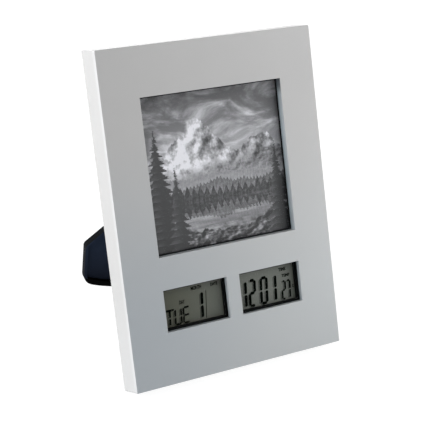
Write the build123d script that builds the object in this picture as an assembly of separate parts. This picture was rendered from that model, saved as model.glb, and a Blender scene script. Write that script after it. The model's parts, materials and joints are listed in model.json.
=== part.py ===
from build123d import *
import math
import os

# Photo frame clock: a leaning frame with a square picture above two small displays.
# Millimetres. Every piece is drawn with the frame upright (X to the right, Y from the
# face to the rear, Z up along the face) and is then leaned back about its rear lower edge.

# Face layout: margins round the picture and the two displays
print_size = 101.6
print_overlap = 1.4
side_margin = 25.6
top_margin = 31.3
display_drop = 20.9
display_height = 26.6
display_gap = 9.2
bottom_margin = 33.4

# Frame shell
frame_depth = 20.0
lean_angle = 21.0
bottom_drop = 2.7
top_rise = 0.7
face_thickness = 3.0
side_wall = 2.2
corner_round = 0.7
face_edge_round = 0.4
window_edge_round = 0.25
stand_flat = 1.6

# Clearances
cut_overrun = 1.0
fit_gap = 0.02
slide_gap = 0.2
stack_gap = 0.05

# Picture window and the stack behind it
collar_depth = 4.8
pane_margin = 1.0
pocket_rib = 1.6
pocket_rib_end = 10.0
gasket_thickness = 0.8
gasket_reveal = 0.8
pane_thickness = 1.2
print_thickness = 0.3
board_margin = 0.3
board_thickness = 2.0
foam_thickness = 2.0
foam_width = 5.0
foam_end_gap = 4.0

# Display windows and the clock module
bezel_depth = 3.6
bezel_reveal = 1.2
bezel_wall = 3.3
bezel_end_wall = 4.0
lens_thickness = 0.8
lens_overlap = 1.4
glass_margin = 1.75
glass_side_margin = 1.75
polariser_thickness = 0.2
glass_plate = 0.8
glass_ledge = 3.0
reflector_thickness = 0.25
zebra_thickness = 2.0
zebra_end_gap = 2.0
board_gap = 1.7
circuit_thickness = 1.2
circuit_side_reach = 7.0
circuit_margin = 1.2
module_boss_radius = 2.5
module_boss_gap = 0.2
module_boss_edge = 3.8
module_screw_radius = 0.8
module_screw_head_radius = 1.9
module_screw_head_height = 1.2
module_screw_bite = 6.0
screw_slack = 0.4

# Parts on the circuit board
chip_radius = 6.0
chip_height = 1.6
chip_round = 1.2
crystal_radius = 1.5
crystal_length = 8.0
capacitor_radius = 2.0
capacitor_height = 5.0
capacitor_round = 0.4
component_row_inset = 7.0
crystal_place_share = 0.20
capacitor_place_shares = (-0.62, -0.46, 0.56)
thermistor_radius = 1.2
thermistor_lead_radius = 0.3
thermistor_lead_length = 4.0
thermistor_place_share = 0.76
switch_size = 6.0
switch_height = 3.5
switch_well_depth = 1.2
switch_well_gap = 0.3

# Rear cover
cover_inset = 0.3
cover_thickness = 2.6
cover_edge_gap = 0.15
post_radius = 3.2
post_wall_gap = 3.1
post_web = 1.4
post_end_gap = 4.5
cover_screw_radius = 1.2
cover_screw_head_radius = 2.4
cover_screw_head_height = 1.4
cover_screw_bite = 8.0
counterbore_depth = 1.6

# Picture door with its turn clips
door_margin = 4.4
door_edge_gap = 0.3
door_ledge = 1.8
door_ledge_thickness = 1.8
door_ledge_wall = 2.6
door_rib = 2.0
door_rib_inset = 12.0
finger_notch_radius = 7.0
finger_notch_depth = 1.2
clip_thickness = 1.0
clip_half_width = 3.5
clip_reach = 13.0
clip_pivot_gap = 6.4
clip_pivot_gap_radial = 0.05
clip_rise_share = 0.29
clip_shoulder_radius = 1.5
clip_screw_radius = 1.0
clip_screw_head_radius = 2.5
clip_screw_head_height = 1.1
clip_screw_bite = 2.1

# Battery bay, battery, contacts and battery door
battery_radius = 5.25
battery_length = 44.5
battery_nub_radius = 1.9
battery_nub_height = 0.8
battery_edge_round = 0.5
battery_play = 0.35
spring_space = 5.0
contact_thickness = 0.4
contact_width = 8.0
contact_tab_width = 3.0
contact_tab_rise_share = 0.45
contact_bow = 3.6
contact_fold = 1.2
bay_wall = 1.4
bay_place_share = 0.44
bay_door_end = 1.9
bay_door_side = 1.4
door_skin = 1.0
door_tab_thickness = 0.8
door_tab_width = 1.2
door_tab_side_gap = 0.3
door_travel = 5.0
door_tab_slack = 0.6
door_tab_place_shares = (-0.66, 0.38)
door_grip_width = 0.8
door_grip_height = 0.4
door_grip_count = 5
door_grip_pitch = 2.0
door_grip_end = 4.0
door_grip_side = 3.0

# Buttons
button_place_shares = (-0.54, -0.18, 0.18, 0.54)
button_below_middle = 4.2
button_radius = 3.0
button_side_gap = 0.15
button_stand_out = 1.2
button_flange_radius = 4.2
button_flange = 1.05
button_stem_radius = 1.4
button_entry = 0.2
button_edge_round = 0.5

# Buzzer, sound slots and leads
buzzer_radius = 10.0
buzzer_disc = 0.4
buzzer_crystal_radius = 7.0
buzzer_crystal = 0.25
buzzer_ring_wall = 1.4
buzzer_ring_height = 1.0
slot_length = 8.0
slot_width = 1.2
slot_pitch = 2.6
slot_count = 5
lead_radius = 0.6
lead_bend = 1.0
lead_rise_share = 0.25
lead_bow = 2.0
lead_pad_rise = 4.0

# Strut, its hinge and its foot
hinge_below_door_top = 15.5
hinge_offset = 3.6
opening_angle = 38.5
strut_fold_gap = 1.4
strut_rim_depth = 2.2
strut_rim_wall = 2.0
strut_panel = 2.2
strut_base_width = 113.0
strut_sole_radius = 111.0
strut_shoulder_width = 120.9
strut_shoulder_height = 53.0
strut_neck_width = 52.0
strut_hinge_width = 34.0
strut_foot_round = 14.0
strut_shoulder_round = 4.0
strut_neck_round = 12.0
strut_rib_width = 1.5
strut_rib_depth = 1.4
strut_rib_spread = 12.0
strut_rib_foot_gap = 6.0
strut_rib_hinge_gap = 12.0
foot_band = 5.0
foot_heel = 0.3
pin_radius = 1.0
pin_running_gap = 0.06
pin_end = 0.8
pin_head_radius = 1.7
pin_head_length = 0.8
knuckle_radius = 2.75
heel_height = 2.0
lug_thickness = 4.0
lug_side_gap = 0.3
lug_radius = 3.4

# Levels from the face to the rear
gasket_back = collar_depth + gasket_thickness
pane_back = gasket_back + pane_thickness
print_back = pane_back + print_thickness
board_back = print_back + board_thickness
foam_back = board_back + foam_thickness
cover_back = frame_depth - cover_inset
cover_front = cover_back - cover_thickness
bezel_back = face_thickness + bezel_depth
polariser_back = bezel_back + polariser_thickness
front_glass_back = polariser_back + glass_plate
rear_glass_back = front_glass_back + glass_plate
circuit_front = rear_glass_back + board_gap
circuit_back = circuit_front + circuit_thickness

# Widths and heights of the face
photo_window = print_size - 2 * print_overlap
display_width = (photo_window - display_gap) / 2
frame_width = photo_window + 2 * side_margin
face_height = top_margin + photo_window + display_drop + display_height + bottom_margin

# Heights above the rear lower edge
face_top = bottom_drop + face_height
photo_top = face_top - top_margin
photo_bottom = photo_top - photo_window
photo_middle = (photo_top + photo_bottom) / 2
display_top = photo_bottom - display_drop
display_bottom = display_top - display_height
display_middle = (display_top + display_bottom) / 2
display_place = (photo_window - display_width) / 2

# Sizes that fit together
pane_size = print_size + 2 * pane_margin
pocket_size = pane_size + 2 * slide_gap
door_size = pane_size + 2 * door_margin
glass_width = display_width + 2 * glass_side_margin
glass_height = display_height + 2 * glass_margin
bezel_half_width = display_place + glass_width / 2 + bezel_wall
bezel_half_height = glass_height / 2 + bezel_end_wall
module_boss_place = bezel_half_width + module_boss_gap + module_boss_radius
circuit_half_width = bezel_half_width + circuit_side_reach
circuit_half_height = bezel_half_height + circuit_margin
board_edge = display_middle - circuit_half_height
post_place = frame_width / 2 - side_wall - post_wall_gap - post_radius
post_heights = (
    bottom_drop + side_wall + post_radius + post_end_gap,
    (display_top + photo_bottom) / 2,
    face_top - side_wall - post_radius - post_end_gap,
)
clip_place = door_size / 2 + clip_pivot_gap
clip_rise = door_size * clip_rise_share
bay_half_length = (battery_length + battery_nub_height + spring_space) / 2 + contact_thickness
bay_half_width = battery_radius + battery_play
battery_door_half_length = bay_half_length + bay_door_end
battery_door_half_width = bay_half_width + bay_door_side
battery_door_inner = cover_back - door_skin - door_tab_thickness
battery_middle = battery_door_inner - battery_play - battery_radius
bay_floor = battery_middle - battery_radius - battery_play
bay_outer_half = bay_half_width + bay_wall
shell_floor = bottom_drop + side_wall
bay_free_height = board_edge - shell_floor - 2 * bay_outer_half
bay_height = shell_floor + bay_free_height * bay_place_share + bay_outer_half
bay_board_gap = board_edge - bay_height - bay_outer_half
contact_tab_rise = bay_board_gap * contact_tab_rise_share
buzzer_place = (battery_door_half_length + slide_gap + post_place - post_radius) / 2
button_height = display_middle - button_below_middle
button_rest_end = circuit_back + switch_height - button_entry
hinge_height = photo_middle + door_size / 2 - hinge_below_door_top
hinge_depth = cover_back + hinge_offset
strut_front = cover_back + strut_fold_gap
strut_panel_front = strut_front + strut_rim_depth
strut_back = strut_panel_front + strut_panel

# The lean: how far the rear lower edge is flattened, and how long the strut has to be
bottom_slope = math.degrees(math.atan2(bottom_drop, frame_depth))
toe_run = 1 / math.tan(math.radians(lean_angle + bottom_slope)) + math.tan(math.radians(lean_angle))
stand_cut = stand_flat / toe_run
strut_tilt = math.radians(opening_angle - lean_angle)
hinge_drop = (hinge_depth - frame_depth) * math.sin(math.radians(lean_angle))
hinge_stand = hinge_height * math.cos(math.radians(lean_angle)) - hinge_drop - stand_cut
strut_heel_lift = (strut_back - hinge_depth) * math.sin(strut_tilt) - foot_heel
strut_length = (hinge_stand + strut_heel_lift) / math.cos(strut_tilt)

# The sole's two ends stand this much above its middle
strut_sole_rise = strut_sole_radius - math.sqrt(strut_sole_radius**2 - (strut_base_width / 2) ** 2)

# The neck tapers up to the knuckle, which runs between the picture door's two lugs
neck_height = strut_shoulder_height + (strut_shoulder_width - strut_neck_width) / 2
neck_taper = (strut_neck_width - strut_hinge_width) / 2 / (strut_length - neck_height)
knuckle_half = strut_hinge_width / 2 + lug_radius * neck_taper
lug_inner = knuckle_half + lug_side_gap
lug_outer = lug_inner + lug_thickness


def block(x0, x1, y0, y1, z0, z1):
    """A box between two opposite corners."""
    middle = Pos((x0 + x1) / 2, (y0 + y1) / 2, (z0 + z1) / 2)
    return middle * Box(abs(x1 - x0), abs(y1 - y0), abs(z1 - z0))


def slab(half_width, y0, y1, z0, z1):
    """A box that is centred left to right."""
    return block(-half_width, half_width, y0, y1, z0, z1)


def square(half_size, y0, y1):
    """A square plate centred on the picture window."""
    return slab(half_size, y0, y1, photo_middle - half_size, photo_middle + half_size)


def rod(x, z, y0, y1, radius):
    """A round bar from front to rear."""
    return Pos(x, (y0 + y1) / 2, z) * Rot(90, 0, 0) * Cylinder(radius, abs(y1 - y0))


def cross_rod(y, z, x0, x1, radius):
    """A round bar from left to right."""
    return Pos((x0 + x1) / 2, y, z) * Rot(0, 90, 0) * Cylinder(radius, abs(x1 - x0))


def side_prism(points, x0, x1):
    """A side outline of (depth, height) points, drawn out from x0 to x1."""
    outline = Plane.YZ * make_face(Polyline(*points, close=True))
    return Pos(x0, 0, 0) * extrude(outline, x1 - x0)


def group(pieces):
    """Separate solids kept together in one node."""
    solids = []
    for piece in pieces:
        solids.extend(piece.solids())
    return Compound(children=solids)


def corner_places(half_x, low, high):
    """The four corners of a rectangle, left and right of the middle."""
    return [(side * half_x, height) for height in (low, high) for side in (-1, 1)]


def post_places():
    return [(side * post_place, height) for height in post_heights for side in (-1, 1)]


def module_boss_places():
    reach = bezel_half_height - module_boss_edge
    return corner_places(module_boss_place, display_middle - reach, display_middle + reach)


def clip_places():
    return corner_places(clip_place, photo_middle - clip_rise, photo_middle + clip_rise)


def button_places():
    return [circuit_half_width * share for share in button_place_shares]


def display_centres():
    return [-display_place, display_place]


def display_block(x, beside, beyond, y0, y1):
    """A block behind one display window, wider and higher than the window by two margins."""
    half_width = display_width / 2 + beside
    half_height = display_height / 2 + beyond
    low = display_middle - half_height
    high = display_middle + half_height
    return block(x - half_width, x + half_width, y0, y1, low, high)


def floor_at(depth):
    """Height of the shell's outer underside at this depth."""
    return bottom_drop * (1 - depth / frame_depth)


def roof_at(depth):
    """Height of the shell's outer top at this depth."""
    return face_top + top_rise * depth / frame_depth


# Shell, picture stack and picture door

def make_front_shell():
    outline = [
        (0, floor_at(0)),
        (frame_depth, floor_at(frame_depth)),
        (frame_depth, roof_at(frame_depth)),
        (0, roof_at(0)),
    ]
    shell = side_prism(outline, -frame_width / 2, frame_width / 2)
    corner_edges = [edge for edge in shell.edges() if abs((edge % 0.5).Y) > 0.9]
    shell = fillet(corner_edges, corner_round)
    shell = fillet(shell.faces().sort_by(Axis.Y)[0].edges(), face_edge_round)
    hollow_end = frame_depth + cut_overrun
    hollow = [
        (face_thickness, floor_at(face_thickness) + side_wall),
        (hollow_end, floor_at(hollow_end) + side_wall),
        (hollow_end, roof_at(hollow_end) - side_wall),
        (face_thickness, roof_at(face_thickness) - side_wall),
    ]
    hollow_half = frame_width / 2 - side_wall
    shell -= side_prism(hollow, -hollow_half, hollow_half)
    shell += square(pocket_size / 2 + pocket_rib, face_thickness, pocket_rib_end)
    shell -= square(pocket_size / 2, collar_depth, pocket_rib_end + cut_overrun)
    for x, z in post_places():
        side = math.copysign(1, x)
        shell += rod(x, z, face_thickness, cover_front, post_radius)
        web_end = side * (hollow_half + side_wall / 2)
        shell += block(x, web_end, face_thickness, cover_front, z - post_web / 2, z + post_web / 2)
    for x, z in module_boss_places():
        shell += rod(x, z, face_thickness, circuit_front, module_boss_radius)
    shell -= square(photo_window / 2, -cut_overrun, collar_depth + cut_overrun)
    for x in display_centres():
        shell -= display_block(x, 0, 0, -cut_overrun, face_thickness + cut_overrun)
    for x, z in post_places():
        start = cover_front - cover_screw_bite
        shell -= rod(x, z, start, cover_front + cut_overrun, cover_screw_radius)
    for x, z in module_boss_places():
        start = circuit_front - module_screw_bite
        shell -= rod(x, z, start, circuit_front + cut_overrun, module_screw_radius)
    face = shell.faces().filter_by(Axis.Y).sort_by(Axis.Y)[0]
    window_edges = [edge for wire in face.inner_wires() for edge in wire.edges()]
    return fillet(window_edges, window_edge_round)


def make_photo_gasket():
    ring = square(pane_size / 2, collar_depth, gasket_back)
    opening = photo_window / 2 - gasket_reveal
    return ring - square(opening, collar_depth - cut_overrun, gasket_back + cut_overrun)


def make_photo_window():
    return square(pane_size / 2, gasket_back, pane_back)


def make_photo_print():
    return square(print_size / 2, pane_back, print_back)


def make_backing_board():
    return square(pane_size / 2 - board_margin, print_back, board_back)


def door_rib_half():
    return door_size / 2 - door_rib_inset


def make_foam_strips():
    strips = []
    half_length = door_rib_half() - foam_end_gap
    for side in (-1, 1):
        z = photo_middle + side * (door_rib_half() - door_rib / 2)
        strips.append(slab(half_length, board_back, foam_back, z - foam_width / 2, z + foam_width / 2))
    return group(strips)


def make_photo_door():
    door = square(door_size / 2, cover_front, cover_back)
    ribs = square(door_rib_half(), foam_back, cover_front)
    ribs -= square(door_rib_half() - door_rib, foam_back - cut_overrun, cover_front)
    door += ribs
    notch_level = cover_back - finger_notch_depth
    notch_height = photo_middle - door_size / 2
    door -= rod(0, notch_height, notch_level, cover_back + cut_overrun, finger_notch_radius)
    for side in (-1, 1):
        inner = side * lug_inner
        outer = side * lug_outer
        low = hinge_height - lug_radius
        high = hinge_height + lug_radius
        door += block(inner, outer, cover_back, hinge_depth, low, high)
        door += cross_rod(hinge_depth, hinge_height, inner, outer, lug_radius)
    bore_half = lug_outer + cut_overrun
    return door - cross_rod(hinge_depth, hinge_height, -bore_half, bore_half, pin_radius + fit_gap)


def make_turn_clip(x, z):
    """A flat plate with round ends, pointing inward over the edge of the picture door."""
    inward = -math.copysign(1, x)
    front = cover_back + stack_gap
    back = front + clip_thickness
    tip = x + inward * clip_reach
    clip = block(x, tip, front, back, z - clip_half_width, z + clip_half_width)
    clip += rod(x, z, front, back, clip_half_width)
    clip += rod(tip, z, front, back, clip_half_width)
    bore = clip_shoulder_radius + clip_pivot_gap_radial
    return clip - rod(x, z, front - cut_overrun, back + cut_overrun, bore)


def make_clip_screws():
    screws = []
    for x, z in clip_places():
        head_seat = cover_back + clip_thickness + 2 * stack_gap
        screw = rod(x, z, cover_back - clip_screw_bite, cover_back, clip_screw_radius)
        screw += rod(x, z, cover_back, head_seat, clip_shoulder_radius)
        screw += rod(x, z, head_seat, head_seat + clip_screw_head_height, clip_screw_head_radius)
        screws.append(screw)
    return group(screws)


# Clock module

def make_display_bezel():
    low = display_middle - bezel_half_height
    high = display_middle + bezel_half_height
    bezel = slab(bezel_half_width, face_thickness, circuit_front, low, high)
    for x in display_centres():
        pocket_side = glass_side_margin + slide_gap
        pocket_end = glass_margin + slide_gap
        bezel -= display_block(x, pocket_side, pocket_end, bezel_back, circuit_front + cut_overrun)
        lens_seat = lens_overlap + slide_gap
        lens_back = face_thickness + lens_thickness
        bezel -= display_block(x, lens_seat, lens_seat, face_thickness - cut_overrun, lens_back)
        bezel -= display_block(x, -bezel_reveal, -bezel_reveal, face_thickness, bezel_back + cut_overrun)
    return bezel


def make_display_lens(x):
    back = face_thickness + lens_thickness
    return display_block(x, lens_overlap, lens_overlap, face_thickness, back)


def make_display_glass(x):
    """Two glass plates; the front one runs on at the bottom as the contact ledge."""
    front = display_block(x, glass_side_margin, glass_margin, polariser_back, front_glass_back)
    low = display_middle - glass_height / 2 + glass_ledge
    high = display_middle + glass_height / 2
    left = x - glass_width / 2
    right = x + glass_width / 2
    rear = block(left, right, front_glass_back, rear_glass_back, low, high)
    return front + rear


def make_front_polarisers():
    sheets = []
    for x in display_centres():
        sheets.append(display_block(x, glass_side_margin, glass_margin, bezel_back, polariser_back))
    return group(sheets)


def make_rear_reflectors():
    sheets = []
    low = display_middle - glass_height / 2 + glass_ledge
    high = display_middle + glass_height / 2
    back = rear_glass_back + reflector_thickness
    for x in display_centres():
        sheets.append(block(x - glass_width / 2, x + glass_width / 2, rear_glass_back, back, low, high))
    return group(sheets)


def make_zebra_strips():
    strips = []
    low = display_middle - glass_height / 2 + slide_gap
    half_length = glass_width / 2 - zebra_end_gap
    for x in display_centres():
        left = x - half_length
        right = x + half_length
        strips.append(block(left, right, front_glass_back, circuit_front, low, low + zebra_thickness))
    return group(strips)


def make_circuit_board():
    low = display_middle - circuit_half_height
    high = display_middle + circuit_half_height
    board = slab(circuit_half_width, circuit_front, circuit_back, low, high)
    for x, z in module_boss_places():
        hole = module_screw_radius + screw_slack
        board -= rod(x, z, circuit_front - cut_overrun, circuit_back + cut_overrun, hole)
    return board


def component_height():
    return display_middle + circuit_half_height - component_row_inset


def make_clock_chip():
    chip = rod(0, component_height(), circuit_back, circuit_back + chip_height, chip_radius)
    rim = chip.faces().sort_by(Axis.Y)[-1].edges()
    return fillet(rim, chip_round)


def make_crystal():
    x = circuit_half_width * crystal_place_share
    y = circuit_back + crystal_radius
    return cross_rod(y, component_height(), x, x + crystal_length, crystal_radius)


def make_capacitors():
    cans = []
    for share in capacitor_place_shares:
        x = circuit_half_width * share
        can = rod(x, component_height(), circuit_back, circuit_back + capacitor_height, capacitor_radius)
        cans.append(fillet(can.faces().sort_by(Axis.Y)[-1].edges(), capacitor_round))
    return group(cans)


def make_thermistor():
    x = circuit_half_width * thermistor_place_share
    z = component_height()
    bead_depth = circuit_back + thermistor_lead_length
    bead = Pos(x, bead_depth, z) * Sphere(thermistor_radius)
    for side in (-1, 1):
        lead_x = x + side * thermistor_radius / 2
        bead += rod(lead_x, z, circuit_back, bead_depth, thermistor_lead_radius)
    return bead


def make_push_switches():
    switches = []
    top = circuit_back + switch_height
    for x in button_places():
        half = switch_size / 2
        body = block(x - half, x + half, circuit_back, top, button_height - half, button_height + half)
        well = button_stem_radius + switch_well_gap
        switches.append(body - rod(x, button_height, top - switch_well_depth, top + cut_overrun, well))
    return group(switches)


def make_module_screws():
    screws = []
    for x, z in module_boss_places():
        start = circuit_front - module_screw_bite + cut_overrun
        screw = rod(x, z, start, circuit_back, module_screw_radius - fit_gap)
        head_end = circuit_back + module_screw_head_height
        screw += rod(x, z, circuit_back, head_end, module_screw_head_radius)
        screws.append(screw)
    return group(screws)


def make_button(x):
    """A push button: cap, retaining flange behind the cover and stem to its switch."""
    flange_back = cover_front - stack_gap
    flange_front = flange_back - button_flange
    cap_end = cover_back + button_stand_out
    button = rod(x, button_height, flange_back, cap_end, button_radius)
    button = fillet(button.faces().sort_by(Axis.Y)[-1].edges(), button_edge_round)
    button += rod(x, button_height, flange_front, flange_back, button_flange_radius)
    return button + rod(x, button_height, button_rest_end, flange_front, button_stem_radius)


# Rear cover, battery bay and buzzer

def battery_door_tabs(margin, shift):
    """Places of the battery door's side tabs, grown by a margin and shifted along X."""
    length = door_travel - door_tab_slack
    tabs = []
    for share in door_tab_place_shares:
        left = battery_door_half_length * share + shift
        tabs.append((left - margin, left + length + margin))
    return tabs


def cover_plate():
    half_width = frame_width / 2 - side_wall - cover_edge_gap
    low = floor_at(cover_front) + side_wall + cover_edge_gap
    high = roof_at(cover_front) - side_wall - cover_edge_gap
    return slab(half_width, cover_front, cover_back, low, high)


def battery_bay():
    outer_half = bay_half_length + bay_wall
    low = bay_height - bay_half_width - bay_wall
    high = bay_height + bay_half_width + bay_wall
    return slab(outer_half, bay_floor - bay_wall, cover_front, low, high)


def battery_cuts():
    """The bay's hollow, the door's recess with its side grooves and the lift-out notches."""
    low = bay_height - bay_half_width
    high = bay_height + bay_half_width
    cuts = [slab(bay_half_length, bay_floor, cover_back + cut_overrun, low, high)]
    left = -battery_door_half_length - slide_gap
    right = battery_door_half_length + door_travel + slide_gap
    recess = battery_door_half_width + slide_gap
    groove = battery_door_half_width + door_tab_width + door_tab_side_gap
    groove_front = battery_door_inner - stack_gap
    groove_back = battery_door_inner + door_tab_thickness + stack_gap
    end = cover_back + cut_overrun
    cuts.append(block(left, right, groove_front, end, bay_height - recess, bay_height + recess))
    cuts.append(block(left, right, groove_front, groove_back, bay_height - groove, bay_height + groove))
    for tab_left, tab_right in battery_door_tabs(door_tab_slack / 2, door_travel):
        cuts.append(block(tab_left, tab_right, groove_front, end, bay_height - groove, bay_height + groove))
    slot = contact_tab_width / 2 + slide_gap
    for x0, x1 in (contact_tab_span(-1), contact_tab_span(1)):
        left = min(x0, x1) - fit_gap
        right = max(x0, x1) + fit_gap
        middle = battery_middle
        cuts.append(block(left, right, middle - slot, middle + slot, high, high + bay_wall + cut_overrun))
    return cuts


def make_rear_cover():
    cover = cover_plate()
    opening = door_size / 2 + door_edge_gap
    ledge_front = cover_front - door_ledge_thickness
    cover += square(opening + door_ledge_wall, ledge_front, cover_front)
    cover += battery_bay()
    cover += rod(-buzzer_place, bay_height, cover_front - buzzer_ring_height, cover_front,
                 buzzer_radius + buzzer_ring_wall / 2)
    cover -= square(opening, cover_front, cover_back + cut_overrun)
    cover -= square(door_size / 2 - door_ledge, ledge_front - cut_overrun, cover_front + cut_overrun)
    cover -= rod(-buzzer_place, bay_height, cover_front - buzzer_ring_height - cut_overrun, cover_front,
                 buzzer_radius - buzzer_ring_wall / 2)
    for cut in battery_cuts():
        cover -= cut
    for x in button_places():
        hole = button_radius + button_side_gap
        cover -= rod(x, button_height, cover_front - cut_overrun, cover_back + cut_overrun, hole)
    for index in range(slot_count):
        z = bay_height + (index - (slot_count - 1) / 2) * slot_pitch
        left = -buzzer_place - slot_length / 2
        right = -buzzer_place + slot_length / 2
        end = cover_back + cut_overrun
        cover -= block(left, right, cover_front - cut_overrun, end, z - slot_width / 2, z + slot_width / 2)
    for x, z in post_places():
        seat = cover_back - counterbore_depth
        shank = cover_screw_radius + screw_slack
        bore = cover_screw_head_radius + screw_slack
        cover -= rod(x, z, cover_front - cut_overrun, cover_back + cut_overrun, shank)
        cover -= rod(x, z, seat, cover_back + cut_overrun, bore)
    for x, z in clip_places():
        start = cover_back - clip_screw_bite
        cover -= rod(x, z, start, cover_back + cut_overrun, clip_screw_radius + fit_gap)
    return cover


def make_cover_screws():
    screws = []
    for x, z in post_places():
        seat = cover_back - counterbore_depth
        tip = cover_front - cover_screw_bite + cut_overrun
        screw = rod(x, z, tip, seat, cover_screw_radius - fit_gap)
        screw += rod(x, z, seat, seat + cover_screw_head_height, cover_screw_head_radius)
        screws.append(screw)
    return group(screws)


def make_battery():
    left = bay_half_length - contact_thickness - battery_nub_height - battery_length
    can = cross_rod(battery_middle, bay_height, left, left + battery_length, battery_radius)
    can = fillet(can.edges().filter_by(GeomType.CIRCLE), battery_edge_round)
    nub_end = left + battery_length + battery_nub_height
    nub = cross_rod(battery_middle, bay_height, left + battery_length, nub_end, battery_nub_radius)
    return can + nub


def contact_tab_span(side):
    """Left and right faces of a contact plate, which stands on the bay's end wall."""
    outer = side * bay_half_length
    return outer, outer - side * contact_thickness


def contact_plate(side):
    x0, x1 = contact_tab_span(side)
    half = contact_width / 2
    low = bay_height - half
    high = bay_height + bay_half_width
    plate = block(x0, x1, battery_middle - half, battery_middle + half, low, bay_height + half)
    tab_half = contact_tab_width / 2
    tab_low = bay_height + half
    tab_high = high + bay_wall + contact_tab_rise
    return plate + block(x0, x1, battery_middle - tab_half, battery_middle + tab_half, tab_low, tab_high)


def make_positive_contact():
    return contact_plate(1)


def make_negative_contact():
    """A plate with a folded leaf that is pressed against the battery's flat end."""
    inner = contact_tab_span(-1)[1]
    battery_end = bay_half_length - contact_thickness - battery_nub_height - battery_length
    middle = bay_height
    half = contact_width / 2
    low = middle - half
    knee = inner + contact_bow
    skin = contact_thickness
    points = [
        (inner, low),
        (knee, middle - contact_fold),
        (battery_end, middle - contact_fold),
        (battery_end, middle + contact_fold),
        (battery_end - skin, middle + contact_fold),
        (battery_end - skin, middle - contact_fold + skin),
        (knee - skin, middle - contact_fold + skin),
        (inner, low + 2 * skin),
    ]
    outline = Plane.XZ * make_face(Polyline(*points, close=True))
    leaf = extrude(outline, contact_width / 2, both=True)
    return contact_plate(-1) + Pos(0, battery_middle, 0) * leaf


def make_battery_door():
    half_length = battery_door_half_length
    half_width = battery_door_half_width
    low = bay_height - half_width
    high = bay_height + half_width
    door = slab(half_length, battery_door_inner, cover_back, low, high)
    tab_back = battery_door_inner + door_tab_thickness
    tab_half = half_width + door_tab_width
    for left, right in battery_door_tabs(0, 0):
        door += block(left, right, battery_door_inner, tab_back, bay_height - tab_half, bay_height + tab_half)
    for index in range(door_grip_count):
        x = -half_length + door_grip_end + index * door_grip_pitch
        ridge_end = cover_back + door_grip_height
        ridge_low = low + door_grip_side
        ridge_high = high - door_grip_side
        door += block(x, x + door_grip_width, cover_back, ridge_end, ridge_low, ridge_high)
    return door


def make_buzzer():
    back = cover_front - buzzer_ring_height
    disc_front = back - buzzer_disc
    disc = rod(-buzzer_place, bay_height, disc_front, back, buzzer_radius)
    crystal_front = disc_front - buzzer_crystal
    return disc + rod(-buzzer_place, bay_height, crystal_front, disc_front, buzzer_crystal_radius)


def wire(points):
    """An insulated wire: straight runs joined by tangent bends."""
    path = FilletPolyline(*points, radius=lead_bend)
    start = Plane(path @ 0, z_dir=path % 0)
    return sweep(start * Circle(lead_radius), path=path)


def make_battery_leads():
    """Two wires from the contacts' tabs up behind the circuit board to pads on its rear."""
    tab_top = bay_height + bay_half_width + bay_wall + contact_tab_rise
    pad_height = board_edge + lead_pad_rise
    bowed = battery_middle + lead_bow
    leads = []
    for side in (-1, 1):
        x0, x1 = contact_tab_span(side)
        x = (x0 + x1) / 2
        y = battery_middle
        points = [
            (x, y, tab_top),
            (x, y, tab_top + bay_board_gap * lead_rise_share),
            (x, bowed, board_edge),
            (x, bowed, pad_height),
            (x, circuit_back, pad_height),
        ]
        leads.append(wire(points))
    return group(leads)


# Strut, its foot and its hinge

def strut_outline():
    """Straight sides over an arc, the sole. Height 0 is the sole's middle."""
    base = strut_base_width / 2
    shoulder = strut_shoulder_width / 2
    neck = strut_neck_width / 2
    hinge = strut_hinge_width / 2
    right = [
        (base, strut_sole_rise),
        (shoulder, strut_shoulder_height),
        (neck, neck_height),
        (hinge, strut_length),
    ]
    left = [(-x, z) for x, z in reversed(right)]
    sole = ThreePointArc((-base, strut_sole_rise), (0, 0), (base, strut_sole_rise))
    face = make_face([*Polyline(*right, *left).edges(), sole])
    sole_ends = [v for v in face.vertices() if abs(v.Y - strut_sole_rise) < fit_gap]
    face = fillet(sole_ends, strut_foot_round)
    shoulders = [v for v in face.vertices() if abs(abs(v.X) - shoulder) < fit_gap]
    face = fillet(shoulders, strut_shoulder_round)
    necks = [v for v in face.vertices() if abs(v.Y - neck_height) < fit_gap]
    return fillet(necks, strut_neck_round)


def strut_prism(outline, front, back):
    """The outline drawn out from front to back, with its foot under the hinge."""
    plane = Plane((0, front, hinge_height - strut_length), x_dir=(1, 0, 0), z_dir=(0, -1, 0))
    return extrude(plane * outline, front - back)


def opened(piece):
    """Swings a piece of the folded strut out to its stop."""
    to_hinge = Pos(0, hinge_depth, hinge_height)
    return to_hinge * Rot(opening_angle, 0, 0) * to_hinge.inverse() * piece


def make_strut_and_foot():
    """The foot is the rubber under an arc that runs beside the sole."""
    outline = strut_outline()
    inner = offset(outline, -strut_rim_wall, kind=Kind.INTERSECTION)
    body = strut_prism(outline, strut_front, strut_back)
    foot_low = hinge_height - strut_length
    arc_middle = foot_low + foot_band + strut_sole_radius
    foot = body - rod(0, arc_middle, strut_front - cut_overrun, strut_back + cut_overrun, strut_sole_radius)
    hollow = strut_prism(inner, strut_front - cut_overrun, strut_panel_front)
    strut = body - hollow - foot
    rib_front = strut_panel_front - strut_rib_depth
    rib_low = foot_low + strut_rib_foot_gap
    rib_high = hinge_height - strut_rib_hinge_gap
    for side in (-1, 1):
        x = side * strut_rib_spread
        half = strut_rib_width / 2
        strut += block(x - half, x + half, rib_front, strut_panel_front, rib_low, rib_high)
    strut += cross_rod(hinge_depth, hinge_height, -knuckle_half, knuckle_half, knuckle_radius)
    strut = opened(strut)
    heel_reach = hinge_offset - stack_gap
    heel_top = hinge_height + heel_height
    strut += slab(knuckle_half, hinge_depth - heel_reach, hinge_depth, hinge_height, heel_top)
    bore_half = knuckle_half + cut_overrun
    strut -= cross_rod(hinge_depth, hinge_height, -bore_half, bore_half, pin_radius + pin_running_gap)
    return strut, opened(foot)


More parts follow.
